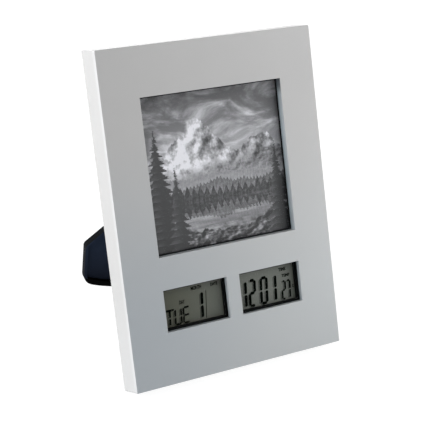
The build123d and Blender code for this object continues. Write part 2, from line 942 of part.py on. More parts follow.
def make_hinge_pin():
    end = lug_outer + pin_end
    pin = cross_rod(hinge_depth, hinge_height, -lug_outer - fit_gap, end, pin_radius)
    head_end = -lug_outer - fit_gap - pin_head_length
    return pin + cross_rod(hinge_depth, hinge_height, head_end, -lug_outer - fit_gap, pin_head_radius)


# Standing the frame up

def leaned():
    """Leans the upright frame back and lets its flattened rear lower edge meet the floor."""
    return Pos(0, 0, -stand_cut) * Rot(-lean_angle, 0, 0) * Pos(0, -frame_depth, 0)


def above_floor(piece):
    """Cuts off what would reach under the floor."""
    reach = 2 * face_height
    floor = block(-reach, reach, -reach, reach, -reach, 0)
    return piece - floor


def make_pieces():
    strut, strut_foot = make_strut_and_foot()
    pieces = {
        "front_shell": make_front_shell(),
        "photo_gasket": make_photo_gasket(),
        "photo_window": make_photo_window(),
        "photo_print": make_photo_print(),
        "backing_board": make_backing_board(),
        "foam_strips": make_foam_strips(),
        "photo_door": make_photo_door(),
        "clip_screws": make_clip_screws(),
        "display_bezel": make_display_bezel(),
        "calendar_lens": make_display_lens(-display_place),
        "time_lens": make_display_lens(display_place),
        "calendar_display": make_display_glass(-display_place),
        "time_display": make_display_glass(display_place),
        "front_polarisers": make_front_polarisers(),
        "rear_reflectors": make_rear_reflectors(),
        "zebra_strips": make_zebra_strips(),
        "circuit_board": make_circuit_board(),
        "clock_chip": make_clock_chip(),
        "crystal": make_crystal(),
        "capacitors": make_capacitors(),
        "thermistor": make_thermistor(),
        "push_switches": make_push_switches(),
        "module_screws": make_module_screws(),
        "rear_cover": make_rear_cover(),
        "cover_screws": make_cover_screws(),
        "battery": make_battery(),
        "positive_contact": make_positive_contact(),
        "negative_contact": make_negative_contact(),
        "battery_door": make_battery_door(),
        "battery_leads": make_battery_leads(),
        "buzzer": make_buzzer(),
        "strut": strut,
        "strut_foot": strut_foot,
        "hinge_pin": make_hinge_pin(),
    }
    for name, x in zip(("mode_button", "set_button", "down_button", "up_button"), button_places()):
        pieces[name] = make_button(x)
    clip_names = ("lower_left_clip", "lower_right_clip", "upper_left_clip", "upper_right_clip")
    for name, (x, z) in zip(clip_names, clip_places()):
        pieces[name] = make_turn_clip(x, z)
    return pieces


def main():
    lean = leaned()
    placed = {name: lean * piece for name, piece in make_pieces().items()}
    for name in ("front_shell", "strut_foot"):
        placed[name] = above_floor(placed[name])
    box = Compound(children=[solid for piece in placed.values() for solid in piece.solids()]).bounding_box()
    middle = (box.min.Y + box.max.Y) / 2
    to_origin = Pos(0, -middle, 0)
    os.makedirs("parts", exist_ok=True)
    for name, piece in placed.items():
        export_step(to_origin * piece, os.path.join("parts", name + ".step"))
    print("depth of the whole part", box.max.Y - box.min.Y, "height", box.max.Z - box.min.Z)
    place = to_origin * lean
    print("rear direction", tuple(Vector(0, 1, 0).rotate(Axis.X, -lean_angle)))
    marks = {"strut hinge": (0, hinge_depth, hinge_height), "rear lower edge": (0, frame_depth, 0)}
    for x, z in clip_places():
        marks["clip pivot at %+.0f, %.0f" % (x, z)] = (x, cover_back, z)
    for name, point in marks.items():
        print(name, tuple((place * Pos(*point)).position))


main()
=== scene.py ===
import json
import math

import bmesh
import bpy
from mathutils import Matrix, Vector


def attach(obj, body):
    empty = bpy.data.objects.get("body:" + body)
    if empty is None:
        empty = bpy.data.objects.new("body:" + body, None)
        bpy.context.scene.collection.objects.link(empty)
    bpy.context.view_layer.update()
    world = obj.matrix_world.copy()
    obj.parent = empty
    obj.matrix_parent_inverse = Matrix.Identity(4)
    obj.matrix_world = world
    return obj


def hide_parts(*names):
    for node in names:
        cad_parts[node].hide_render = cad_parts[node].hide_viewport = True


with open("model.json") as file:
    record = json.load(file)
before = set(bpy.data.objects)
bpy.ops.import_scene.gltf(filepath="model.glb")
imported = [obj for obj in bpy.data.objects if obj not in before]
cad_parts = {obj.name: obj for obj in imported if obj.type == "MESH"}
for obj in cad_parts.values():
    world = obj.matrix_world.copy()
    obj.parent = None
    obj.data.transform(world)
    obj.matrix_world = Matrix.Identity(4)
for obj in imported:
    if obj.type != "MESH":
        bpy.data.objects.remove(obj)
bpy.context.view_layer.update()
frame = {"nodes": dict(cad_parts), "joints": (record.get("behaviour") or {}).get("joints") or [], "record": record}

# Photo frame clock: finishes, the printed picture, the displays' digits, screw heads and
# the lettering on the rear. Metres, in the frame's own axes: +X to the viewer's right,
# -Y towards the viewer, +Z up. Sizes of small details are given in millimetres times MM.

MM = 0.001

# Directions of the leaning frame, read from a clip's pivot, and the true upright
JOINTS = {joint["name"]: joint for joint in frame["joints"]}
ACROSS = Vector((1, 0, 0))
REAR = Vector(JOINTS["upper_right_clip_turn"]["axis"]).normalized()
UP = ACROSS.cross(REAR)
UPRIGHT = Vector((0, 0, 1))


def span(node, direction):
    """Lowest and highest reach of a CAD node along a direction."""
    reach = [vertex.co.dot(direction) for vertex in frame["nodes"][node].data.vertices]
    return min(reach), max(reach)


def middle(node, direction):
    low, high = span(node, direction)
    return (low + high) / 2


def frame_point(across, up, rear):
    """A point from its distances along the leaning frame's three directions."""
    return ACROSS * across + UP * up + REAR * rear


def plane_at(point, across, up):
    """A matrix whose X, Y and Z run across, up and out of a surface at a point."""
    out = across.cross(up)
    matrix = Matrix((across, up, out)).transposed().to_4x4()
    matrix.translation = point
    return matrix


# Numbers and colours carried by the nodes of a material or a world

class Term:
    """A value carried by nodes. Sums, differences and products of terms add math nodes."""

    def __init__(self, graph, socket):
        self.graph = graph
        self.socket = socket

    def __add__(self, other):
        return self.graph.math("ADD", self, other)

    def __radd__(self, other):
        return self.graph.math("ADD", other, self)

    def __sub__(self, other):
        return self.graph.math("SUBTRACT", self, other)

    def __rsub__(self, other):
        return self.graph.math("SUBTRACT", other, self)

    def __mul__(self, other):
        return self.graph.math("MULTIPLY", self, other)

    def __rmul__(self, other):
        return self.graph.math("MULTIPLY", other, self)


class Graph:
    """The node tree of a new material or world, with short calls that add nodes and link them."""

    def __init__(self, name, owners=bpy.data.materials):
        self.owner = owners.new(name)
        self.owner.use_nodes = True
        self.tree = self.owner.node_tree
        self.tree.nodes.clear()

    def feed(self, socket, value):
        if isinstance(value, Term):
            self.tree.links.new(value.socket, socket)
        else:
            socket.default_value = value

    def node(self, kind, inputs, output=0, **settings):
        """Adds a node, feeds its inputs by name or number, and returns one output."""
        made = self.tree.nodes.new(kind)
        for key, value in settings.items():
            setattr(made, key, value)
        for key, value in inputs.items():
            self.feed(made.inputs[key], value)
        return Term(self, made.outputs[output])

    def math(self, operation, *values, clamp=False):
        inputs = dict(enumerate(values))
        return self.node("ShaderNodeMath", inputs, operation=operation, use_clamp=clamp)

    def magnitude(self, value):
        return self.math("ABSOLUTE", value)

    def place(self):
        return self.node("ShaderNodeTexCoord", {}, output="Object")

    def point(self, x, y, z=0.0):
        return self.node("ShaderNodeCombineXYZ", {0: x, 1: y, 2: z})

    def sideways_normal(self):
        """How far a surface faces to the right, from -1 to 1."""
        normal = self.node("ShaderNodeTexCoord", {}, output="Normal")
        return self.node("ShaderNodeSeparateXYZ", {0: normal})

    def along(self, direction, start=0.0, unit=1.0):
        """Distance of a surface point along a direction from a start, in a unit."""
        vector = direction / unit
        dot = self.node("ShaderNodeVectorMath", {0: self.place(), 1: vector}, "Value",
                        operation="DOT_PRODUCT")
        return dot - start / unit

    def noise(self, scale, detail=2.0, roughness=0.5, vector=None, distortion=0.0):
        """Noise from 0 to 1 with about this many features to the metre."""
        inputs = {"Vector": vector or self.place(), "Scale": scale, "Detail": detail,
                  "Roughness": roughness, "Distortion": distortion}
        return self.node("ShaderNodeTexNoise", inputs)

    def line_noise(self, along, detail=2.0, roughness=0.5):
        """Noise that changes along one number only."""
        inputs = {"W": along, "Scale": 1.0, "Detail": detail, "Roughness": roughness}
        return self.node("ShaderNodeTexNoise", inputs, noise_dimensions="1D")

    def cells(self, scale, output="Distance"):
        inputs = {"Vector": self.place(), "Scale": scale}
        return self.node("ShaderNodeTexVoronoi", inputs, output)

    def stretched(self, factors):
        """The surface point with its three frame directions scaled by three factors."""
        parts = [self.along(d) * f for d, f in zip((ACROSS, UP, REAR), factors)]
        return self.point(*parts)

    def step(self, value, low, high):
        """0 below low, 1 above high and smooth in between."""
        inputs = {"Value": value, "From Min": low, "From Max": high}
        return self.node("ShaderNodeMapRange", inputs, interpolation_type="SMOOTHSTEP")

    def fade(self, value, low, high, at_low, at_high):
        inputs = {"Value": value, "From Min": low, "From Max": high, "To Min": at_low,
                  "To Max": at_high}
        return self.node("ShaderNodeMapRange", inputs)

    def mix(self, factor, first, second):
        """A number between two numbers."""
        return self.node("ShaderNodeMix", {0: factor, 2: first, 3: second}, data_type="FLOAT")

    def blend(self, factor, first, second):
        """A colour between two colours."""
        return self.node("ShaderNodeMix", {0: factor, 6: first, 7: second}, 2, data_type="RGBA")

    def bump(self, height, distance, strength):
        return self.node("ShaderNodeBump", {"Height": height, "Distance": distance,
                                            "Strength": strength})

    def surface(self, **inputs):
        """A Principled shader; an input's name is its socket's, with underlines for spaces."""
        named = {key.replace("_", " "): value for key, value in inputs.items()}
        return self.node("ShaderNodeBsdfPrincipled", named)

    def mixed_shader(self, factor, first, second):
        return self.node("ShaderNodeMixShader", {0: factor, 1: first, 2: second})

    def finish(self, shader, kind="ShaderNodeOutputMaterial"):
        output = self.tree.nodes.new(kind)
        self.tree.links.new(shader.socket, output.inputs["Surface"])
        return self.owner


def tone(red, green=None, blue=None):
    """A colour from its 0 to 255 values as a screen shows them."""
    channels = [red, red if green is None else green, red if blue is None else blue]
    linear = []
    for channel in channels:
        share = channel / 255
        linear.append(share / 12.92 if share <= 0.04045 else ((share + 0.055) / 1.055) ** 2.4)
    return (*linear, 1.0)


WHITE = tone(255)

# Finishes of the silver front, with painted shade, a painted highlight and painted reflections in
# their colour. A stretch is where a tone starts and stops changing, along one of the leaning
# frame's directions. The painted dark corner's two levels are below the print's top

FACE = span("front_shell", REAR)[0]
# Where the painted shade on the face starts and stops, up and across
PAINTED_SHADE_STRETCH_UP = (10 * MM, 150 * MM)
PAINTED_SHADE_STRETCH_ACROSS = (-75 * MM, 45 * MM)
# Where the painted light at the sides' foot starts and stops, up
PAINTED_FOOT_LIGHT_STRETCH_UP = (-5 * MM, 60 * MM)
# Where the painted reflections on the windows' right walls start, across
PAINTED_WALLS_STRETCH_ACROSS = (-30 * MM, -20 * MM)
# Depth of the painted highlight along the sides' front edge
PAINTED_GLINT_DEPTH = 5 * MM
# Where the painted shade of the dark corner starts and is full, below the print's top
PAINTED_CORNER_SHADE_START = 13 * MM
PAINTED_CORNER_SHADE_FULL = 5 * MM

# How far a surface faces sideways, from 0 to 1, where it starts and ends turning into a side
SIDE_STRETCH = (0.6, 0.8)


def painted_face_shade(graph, colour):
    """Painted shade: the face is painted cooler and darker low down, and darker still on its left."""
    low = 1.0 - graph.step(graph.along(UP), *PAINTED_SHADE_STRETCH_UP)
    left = 1.0 - graph.step(graph.along(ACROSS), *PAINTED_SHADE_STRETCH_ACROSS)
    facing = low * (1.0 - graph.magnitude(graph.sideways_normal()))
    colour = graph.blend(0.55 * facing, colour, tone(180, 187, 190))
    return graph.blend(0.5 * left * facing, colour, tone(146, 155, 164))


def painted_side_highlights(graph, colour):
    """Painted highlight along the sides' front edge and painted light at their foot: the sides are painted paler
    there.
    """
    side = graph.step(graph.magnitude(graph.sideways_normal()), *SIDE_STRETCH)
    front_edge = 1.0 - graph.step(graph.along(REAR), FACE, FACE + PAINTED_GLINT_DEPTH)
    foot = 1.0 - graph.step(graph.along(UP), *PAINTED_FOOT_LIGHT_STRETCH_UP)
    return graph.blend(side * (0.55 * front_edge + 0.3 * foot), colour, tone(196, 198, 200))


def painted_wall_reflections(graph, colour):
    """Painted reflections and shade on the windows' right walls: paler and cooler near the face, darker deeper in,
    and dark in the picture window's upper corner.
    """
    window_high = span("photo_print", UP)[1]
    deep = graph.step(graph.along(REAR), FACE, span("photo_gasket", REAR)[0])
    upper = graph.step(graph.along(UP), window_high - PAINTED_CORNER_SHADE_START,
                       window_high - PAINTED_CORNER_SHADE_FULL)
    # Painted reflections: the right walls paler and cooler near the face, darker deeper in
    bare = graph.blend(deep, tone(210, 217, 222), tone(174, 187, 195))
    # Painted shade: dark in the picture window's upper corner
    bare = graph.blend(0.8 * upper, bare, tone(60, 64, 70))
    wall = graph.step(0.0 - graph.sideways_normal(), *SIDE_STRETCH)
    wall = wall * graph.step(graph.along(ACROSS), *PAINTED_WALLS_STRETCH_ACROSS)
    return graph.blend(wall, colour, bare)


def silver_shell():
    """Satin silver lacquer with fine flakes and soft marks, and painted shade, a painted highlight and painted
    reflections laid on its colour.
    """
    graph = Graph("silver_shell")
    flake = graph.noise(5200, detail=1.0)
    cloud = graph.noise(26, detail=3.0)
    marks = graph.step(graph.noise(90, detail=4.0, roughness=0.7), 0.62, 0.8)
    colour = graph.blend(0.35 * flake + 0.65 * cloud, tone(173), tone(182))
    colour = painted_face_shade(graph, colour)
    colour = painted_side_highlights(graph, colour)
    colour = painted_wall_reflections(graph, colour)
    roughness = 0.4 + 0.06 * flake - 0.05 * cloud + 0.05 * marks
    normal = graph.bump(0.7 * graph.noise(900) + 0.3 * flake, 0.02 * MM, 0.5)
    return graph.finish(graph.surface(Base_Color=colour, Metallic=0.2, Roughness=roughness,
                                      Normal=normal))


def matt_black(name, low, high, grain, depth, gloss, specular=0.5):
    """Moulded or cut black: speckled, with a fine even grain."""
    graph = Graph(name)
    speckle = graph.noise(grain, detail=3.0, roughness=0.6)
    patches = graph.noise(60)
    colour = graph.blend(0.5 * speckle + 0.5 * patches, low, high)
    normal = graph.bump(speckle, depth, 0.8)
    return graph.finish(graph.surface(Base_Color=colour, Roughness=gloss + 0.14 * patches,
                                      Normal=normal, Specular_IOR_Level=specular))


def black_gasket():
    return matt_black("black_gasket", tone(10, 11, 13), tone(22, 24, 26), grain=2600,
                      depth=0.05 * MM, gloss=0.6, specular=0.1)


def black_bezel():
    return matt_black("black_bezel", tone(5, 6, 7), tone(15, 16, 17), grain=3000,
                      depth=0.04 * MM, gloss=0.6, specular=0.06)


def clear_sheet(name, gloss_share):
    """Clear sheet: see-through, with a mirror film that grows towards grazing angles."""
    graph = Graph(name)
    ripple = graph.bump(graph.noise(14, detail=1.0), 0.02 * MM, 0.3)
    outside = 1.0 - graph.node("ShaderNodeNewGeometry", {}, output="Backfacing")
    fresnel = graph.node("ShaderNodeFresnel", {"IOR": 1.49}) * outside
    clear = graph.node("ShaderNodeBsdfTransparent", {"Color": tone(252, 253, 253)})
    gloss = graph.node("ShaderNodeBsdfGlossy", {"Roughness": 0.04, "Normal": ripple})
    return graph.finish(graph.mixed_shader(gloss_share * fresnel, clear, gloss))


def clear_pane():
    return clear_sheet("clear_pane", 0.5)


def clear_lens():
    return clear_sheet("clear_lens", 0.04)


# The printed picture: a snowy mountain above a lake between firs, in greys. Places and sizes in
# it are shares of its half width, from its middle, and tones run from 0 to 1

SHORE = -0.40
SKY_STRETCH = (-0.1, 1.0)
SKY_TONES = (0.62, 0.20)
CLOUD_TONE = 0.42
SNOW_TONES = (0.80, 0.56)
BRIGHTEST_SNOW = 0.97
ROCK_TONE = 0.27
MIST_STRETCH = (-0.34, 0.14)
MIST_TONE = 0.66
HILL_DEPTH = 0.24
LEAF_CONTRAST = 1.1
BANK = -0.80
STONE_TONE = 0.24
NEAR_FIR_TONE = 0.12
SHARP_EDGE = 0.01
SOFT_EDGE = 0.012
BANK_EDGE = 0.015

# The mountain's peaks: place, height and how steeply they fall away
PEAKS = [(-0.24, 0.66, 0.92), (0.66, 0.34, 0.60)]

# Wooded hills in the mist and firs on both shores: level, swing, breadth, seed, fir height,
# firs to a half width, tone at the crest and tone at the foot
WOODS = [
    (-0.10, 0.26, 1.3, 11.7, 0.022, 30.0, 0.46, 0.62),
    (-0.22, 0.24, 1.7, 27.4, 0.045, 21.0, 0.30, 0.46),
    (-0.33, 0.20, 1.2, 43.2, 0.12, 11.0, 0.13, 0.20),
]

# Firs that stand up in front: place, top, spread and seed
NEAR_FIRS = [
    (-0.80, 0.56, 0.20, 3.0),
    (-0.57, 0.10, 0.15, 8.0),
    (0.86, 0.20, 0.17, 13.0),
]


def lit_relief(graph, across, up, scale, seed, shift, roughness=0.6):
    """Rough ground lit from the upper left: how much a noise rises over a short step."""
    levels = []
    for sign in (1.0, -1.0):
        point = graph.point(across + sign * shift, up - sign * shift, seed)
        levels.append(graph.noise(scale, detail=8.0, roughness=roughness, vector=point))
    return levels[0] - levels[1]


def fir_tops(graph, across, pitch, seed):
    """The outline of a row of firs, from 0 between them to about 1 at the tallest tops."""
    place = across * pitch + seed
    tall = graph.line_noise(graph.math("FLOOR", place) * 7.3)
    beside = graph.magnitude(graph.math("FRACT", place) - 0.5)
    twigs = graph.line_noise(place * 9.0) - 0.5
    return (1.0 - beside * 2.0) * (0.1 + 1.5 * tall) + 0.30 * twigs


def with_mountain(graph, picture, across, up, cloud):
    """Adds two peaks: snow on what is high, bare rock where it is steep, and mist at the foot."""
    ridges = [height - graph.magnitude(across - place) * fall for place, height, fall in PEAKS]
    roll = graph.line_noise(across * 3.4 + 5.0, detail=7.0, roughness=0.6) - 0.5
    crest = graph.math("MAXIMUM", *ridges) + roll * 0.30
    lit = lit_relief(graph, across, up * 0.8, scale=2.3, seed=4.0, shift=0.022)
    flank = graph.mix(graph.step(across + 0.55 * up, -0.28, 0.16), *SNOW_TONES)
    snow = graph.math("MINIMUM", flank + lit * 4.2, BRIGHTEST_SNOW)
    fine = lit_relief(graph, across, up, scale=7.0, seed=9.0, shift=0.010, roughness=0.7)
    rock = ROCK_TONE + fine * 1.8
    broken = graph.noise(5.0, detail=7.0, roughness=0.66) + 0.45 * lit - 0.42 * up
    mountain = graph.mix(graph.step(broken, 0.44, 0.54), snow, rock)
    clear = graph.step(up + 0.2 * (cloud - 0.5), *MIST_STRETCH)
    mountain = graph.mix(clear, MIST_TONE, mountain)
    return graph.mix(graph.step(crest - up, 0.0, SOFT_EDGE), picture, mountain)


def with_woods(graph, picture, across, up):
    for level, swing, breadth, seed, fir_height, firs, crest_tone, foot_tone in WOODS:
        roll = graph.line_noise(across * breadth + seed, detail=4.0) - 0.5
        crest = level + roll * swing + fir_tops(graph, across, firs, seed) * fir_height
        depth = crest - up
        leaves = lit_relief(graph, across * 1.6, up, scale=16.0, seed=seed, shift=0.012,
                            roughness=0.7)
        body = graph.fade(depth, 0.0, HILL_DEPTH, crest_tone, foot_tone)
        body = body + leaves * LEAF_CONTRAST * (0.75 - crest_tone)
        picture = graph.mix(graph.step(depth, 0.0, SHARP_EDGE), picture, body)
    return picture


def with_bank(graph, picture, across, up):
    """Adds the boulders and gravel of the near bank."""
    roll = graph.line_noise(across * 1.9 + 60.0, detail=5.0, roughness=0.6) - 0.5
    bank = BANK + 0.34 * roll + 0.12 * graph.magnitude(across)
    stones = lit_relief(graph, across, up * 1.8, scale=6.5, seed=21.0, shift=0.016,
                        roughness=0.55)
    ground = STONE_TONE + stones * 2.6
    return graph.mix(graph.step(bank - up, 0.0, BANK_EDGE), picture, ground)


def with_near_firs(graph, picture, across, up):
    for place, top, spread, seed in NEAR_FIRS:
        from_top = graph.math("MAXIMUM", top - up, 0.0)
        tiers = graph.math("FRACT", from_top * 11.0 + 0.5 * graph.line_noise(up * 9.0 + seed))
        boughs = from_top * spread * (0.55 + 0.75 * tiers)
        grain = graph.point(across, up * 1.6, seed)
        needles = graph.noise(34.0, detail=4.0, roughness=0.7, vector=grain) - 0.5
        beside = boughs + needles * 0.14 - graph.magnitude(across - place)
        lit = 0.16 * graph.step(place - across, -0.05, 0.10) * tiers
        tree = NEAR_FIR_TONE + lit + needles * 0.22
        inside = graph.step(beside, 0.0, SOFT_EDGE) * graph.step(from_top, 0.0, SHARP_EDGE)
        picture = graph.mix(inside, picture, tree)
    return picture


def printed_paper():
    graph = Graph("printed_paper")
    left, right = span("photo_print", ACROSS)
    half = (right - left) / 2
    across = graph.along(ACROSS, middle("photo_print", ACROSS), half)
    up = graph.along(UP, middle("photo_print", UP), half)

    # Below the shore line everything is mirrored, and drawn out by ripples
    below = graph.math("MAXIMUM", SHORE - up, 0.0)
    streaks = graph.point(across * 2.6, up * 40.0)
    ripples = graph.noise(1.0, detail=5.0, roughness=0.6, vector=streaks) - 0.5
    height = SHORE + graph.magnitude(up - SHORE) + ripples * below * 0.6
    side = across + ripples * below * 0.3

    # Sky, darker towards the top, with torn cloud
    drift = graph.point(side * 1.5, height * 3.2, 2.0)
    cloud = graph.noise(1.0, detail=8.0, roughness=0.6, vector=drift, distortion=0.5)
    picture = graph.fade(height, *SKY_STRETCH, *SKY_TONES)
    picture = picture + CLOUD_TONE * graph.step(cloud, 0.42, 0.68)
    picture = with_mountain(graph, picture, side, height, cloud)
    picture = with_woods(graph, picture, side, height)

    # The lake: a little darker than what it mirrors, with a pale breath of wind
    wind = graph.noise(1.0, detail=3.0, vector=graph.point(across * 0.8, up * 9.0, 7.0))
    lake = picture * 0.84 + 0.02 + ripples * 0.26 + 0.12 * graph.step(wind, 0.5, 0.66)
    picture = graph.mix(graph.step(below, 0.0, SOFT_EDGE), picture, lake)
    picture = with_bank(graph, picture, across, up)
    picture = with_near_firs(graph, picture, across, up)

    # The print's own look: darker corners, grain, a faint purple black
    corner = across * across + up * up
    picture = picture - 0.05 * corner + (graph.noise(2600, detail=1.0) - 0.5) * 0.05
    picture = graph.math("MULTIPLY_ADD", picture, 1.12, 0.069, clamp=True)
    light = graph.math("POWER", picture, 2.2)
    colour = graph.blend(light, tone(2, 0, 4), tone(252, 249, 255))
    roughness = 0.42 + 0.06 * graph.noise(300)
    return graph.finish(graph.surface(Base_Color=colour, Roughness=roughness))


# Finishes of the displays

# Where the film's painted shade on the left fades out, across the frame
FILM_PAINTED_SHADE_STRETCH_ACROSS = (-56 * MM, 14 * MM)


def display_film():
    """Grey-green polarising film over the liquid crystal, unevenly clouded, with painted shade that darkens it
    towards the left.
    """
    graph = Graph("display_film")
    cloud = graph.noise(34)
    # Painted shade: the film is painted darker and yellower towards the left
    painted_shade_sweep = graph.step(graph.along(ACROSS), *FILM_PAINTED_SHADE_STRETCH_ACROSS)
    colour = graph.blend(painted_shade_sweep, tone(60, 59, 40), tone(101, 103, 96))
    colour = graph.blend(0.35 * cloud, colour, tone(78, 81, 72))
    rows = graph.math("SINE", graph.along(UP, unit=0.05 * MM))
    normal = graph.bump(rows, 0.004 * MM, 0.2)
    return graph.finish(graph.surface(Base_Color=colour, Roughness=0.36, Normal=normal))


def display_glass():
    graph = Graph("display_glass")
    cloud = graph.noise(50)
    colour = graph.blend(cloud, tone(96, 101, 92), tone(108, 112, 102))
    return graph.finish(graph.surface(Base_Color=colour, Roughness=0.08 + 0.06 * cloud,
                                      Transmission_Weight=0.15))


def dark_crystal():
    """A driven segment: nearly black and quite matt, faintly green."""
    graph = Graph("dark_crystal")
    cloud = graph.noise(700)
    colour = graph.blend(cloud, tone(1, 3, 2), tone(9, 12, 10))
    return graph.finish(graph.surface(Base_Color=colour, Roughness=0.6 + 0.1 * cloud,
                                      Specular_IOR_Level=0.0))


def crystal_shadow():
    """What a segment keeps off the reflector: mostly clear."""
    graph = Graph("crystal_shadow")
    clear = graph.node("ShaderNodeBsdfTransparent", {"Color": WHITE})
    shade = graph.node("ShaderNodeBsdfDiffuse", {"Color": tone(10, 12, 10)})
    return graph.finish(graph.mixed_shader(0.13 + 0.04 * graph.noise(500), clear, shade))


def zebra_rubber():
    graph = Graph("zebra_rubber")
    layers = graph.step(graph.math("SINE", graph.along(ACROSS, unit=0.04 * MM)), -0.2, 0.2)
    colour = graph.blend(layers, tone(38, 38, 40), tone(128, 128, 132))
    return graph.finish(graph.surface(Base_Color=colour, Roughness=0.7))


# Finishes of the rear and of what is inside

TRACK_UNIT = 0.16 * MM
LEADS_STRETCH_ACROSS = (-1 * MM, 1 * MM)
# Where the strut's painted shade towards the foot fades out, up from the floor
STRUT_PAINTED_SHADE_STRETCH_UPRIGHT = (9 * MM, 52 * MM)


def black_cover():
    """Black moulding with a spark-eroded grain and greyer rubbed patches."""
    graph = Graph("black_cover")
    grain = graph.cells(1900)
    fine = graph.noise(5200)
    rubbed = graph.step(graph.noise(38, detail=5.0, roughness=0.65), 0.5, 0.78)
    colour = graph.blend(rubbed * 0.6 + 0.3 * fine, tone(31, 31, 33), tone(47, 47, 49))
    roughness = 0.52 + 0.12 * fine - 0.1 * rubbed
    normal = graph.bump(0.7 * grain + 0.3 * fine, 0.09 * MM, 0.7)
    return graph.finish(graph.surface(Base_Color=colour, Roughness=roughness, Normal=normal))


def metal(name, dark, light, brush, roughness):
    """Plated steel or brass: a fine drawn grain and slight stains."""
    graph = Graph(name)
    drawn = graph.noise(1.0, detail=3.0, vector=graph.stretched(brush))
    stain = graph.noise(130, detail=4.0, roughness=0.6)
    colour = graph.blend(0.45 * drawn + 0.55 * stain, dark, light)
    gloss = roughness + 0.14 * drawn + 0.08 * stain
    normal = graph.bump(drawn, 0.01 * MM, 0.5)
    return graph.finish(graph.surface(Base_Color=colour, Metallic=1.0, Roughness=gloss,
                                      Normal=normal))


def steel_screw():
    return metal("steel_screw", tone(150), tone(196, 197, 198), (2600, 2600, 500), 0.26)


def clip_steel():
    return metal("clip_steel", tone(158, 157, 154), tone(200, 199, 196), (300, 5200, 5200), 0.28)


def plated_can():
    return metal("plated_can", tone(166, 164, 156), tone(206, 204, 196), (900, 4200, 4200), 0.24)


def brass_disc():
    return metal("brass_disc", tone(170, 134, 70), tone(212, 176, 104), (1800, 1800, 900), 0.3)


def grey_board():
    graph = Graph("grey_board")
    grain = graph.stretched((1400, 300, 1400))
    fibre = graph.noise(1.0, detail=5.0, roughness=0.7, vector=grain)
    colour = graph.blend(fibre, tone(142, 138, 132), tone(170, 166, 158))
    normal = graph.bump(fibre, 0.05 * MM, 0.6)
    return graph.finish(graph.surface(Base_Color=colour, Roughness=0.9, Normal=normal))


def black_foam():
    graph = Graph("black_foam")
    cells = graph.cells(1500)
    colour = graph.blend(cells, tone(20, 20, 21), tone(58, 58, 60))
    normal = graph.bump(cells, 0.25 * MM, 0.9)
    return graph.finish(graph.surface(Base_Color=colour, Roughness=0.95, Normal=normal))


def circuit_laminate():
    """Green solder mask over copper tracks that run in two directions."""
    graph = Graph("circuit_laminate")
    blocks = graph.cells(150, output="Color")
    split = graph.node("ShaderNodeSeparateColor", {0: blocks})
    flat = graph.math("SINE", graph.along(UP, unit=TRACK_UNIT))
    steep = graph.math("SINE", graph.along(ACROSS, unit=TRACK_UNIT))
    track = graph.step(graph.mix(graph.step(split, 0.45, 0.55), flat, steep), 0.35, 0.6)
    colour = graph.blend(track, tone(16, 74, 42), tone(38, 112, 66))
    normal = graph.bump(track, 0.04 * MM, 0.7)
    return graph.finish(graph.surface(Base_Color=colour, Roughness=0.32, Normal=normal))


def black_resin():
    return matt_black("black_resin", tone(14, 14, 15), tone(28, 28, 29), grain=1400,
                      depth=0.03 * MM, gloss=0.22)


def switch_plastic():
    return matt_black("switch_plastic", tone(36, 36, 37), tone(50, 50, 51), grain=2000,
                      depth=0.03 * MM, gloss=0.4)


def battery_sleeve():
    """A plain two-colour sleeve between bare metal ends, by shares of the cell's length."""
    graph = Graph("battery_sleeve")
    low, high = span("battery", ACROSS)
    share = graph.along(ACROSS, low, high - low)
    scuffs = graph.step(graph.noise(420, detail=4.0, roughness=0.7), 0.6, 0.75)
    band = graph.step(share, 0.66, 0.665)
    sleeve = graph.blend(band, tone(38, 44, 58), tone(176, 112, 58))
    sleeve = graph.blend(0.4 * scuffs, sleeve, tone(132, 130, 126))
    ends = graph.step(graph.magnitude(share - 0.49), 0.465, 0.47)
    colour = graph.blend(ends, sleeve, tone(196, 194, 188))
    return graph.finish(graph.surface(Base_Color=colour, Metallic=ends,
                                      Roughness=0.3 + 0.2 * scuffs))


def lead_sleeve():
    """Insulated leads: black from the negative contact on the left, red on the right."""
    graph = Graph("lead_sleeve")
    side = graph.step(graph.along(ACROSS), *LEADS_STRETCH_ACROSS)
    flow = graph.noise(800)
    colour = graph.blend(side, tone(26, 26, 28), tone(150, 30, 28))
    colour = graph.blend(0.2 * flow, colour, tone(90, 70, 70))
    return graph.finish(graph.surface(Base_Color=colour, Roughness=0.4 + 0.1 * flow))


def navy_strut():
    """Dark navy flock with painted shade that darkens it towards the foot, and darker at the edges where the
    surface turns sideways.
    """
    graph = Graph("navy_strut")
    fibres = graph.noise(5200, detail=3.0, roughness=0.7)
    nap = graph.noise(120, detail=3.0, roughness=0.6)
    brushed = graph.step(graph.noise(24, detail=3.0), 0.4, 0.7)
    colour = graph.blend(0.5 * fibres + 0.3 * nap + 0.2 * brushed, tone(11, 15, 25),
                         tone(24, 31, 46))
    # Painted shade: the flock is painted paler higher up and darker towards the foot
    painted_light_above_foot = graph.step(graph.along(UPRIGHT), *STRUT_PAINTED_SHADE_STRETCH_UPRIGHT)
    colour = graph.blend(0.65 * painted_light_above_foot, colour, tone(42, 55, 76))
    edge = graph.step(graph.magnitude(graph.sideways_normal()), 0.25, 0.6)
    colour = graph.blend(edge, colour, tone(11, 13, 15))
    normal = graph.bump(0.8 * fibres + 0.2 * nap, 0.16 * MM, 0.9)
    return graph.finish(graph.surface(Base_Color=colour, Roughness=0.92, Normal=normal,
                                      Specular_IOR_Level=0.1, Sheen_Weight=0.1,
                                      Sheen_Roughness=0.5, Sheen_Tint=tone(70, 80, 110)))


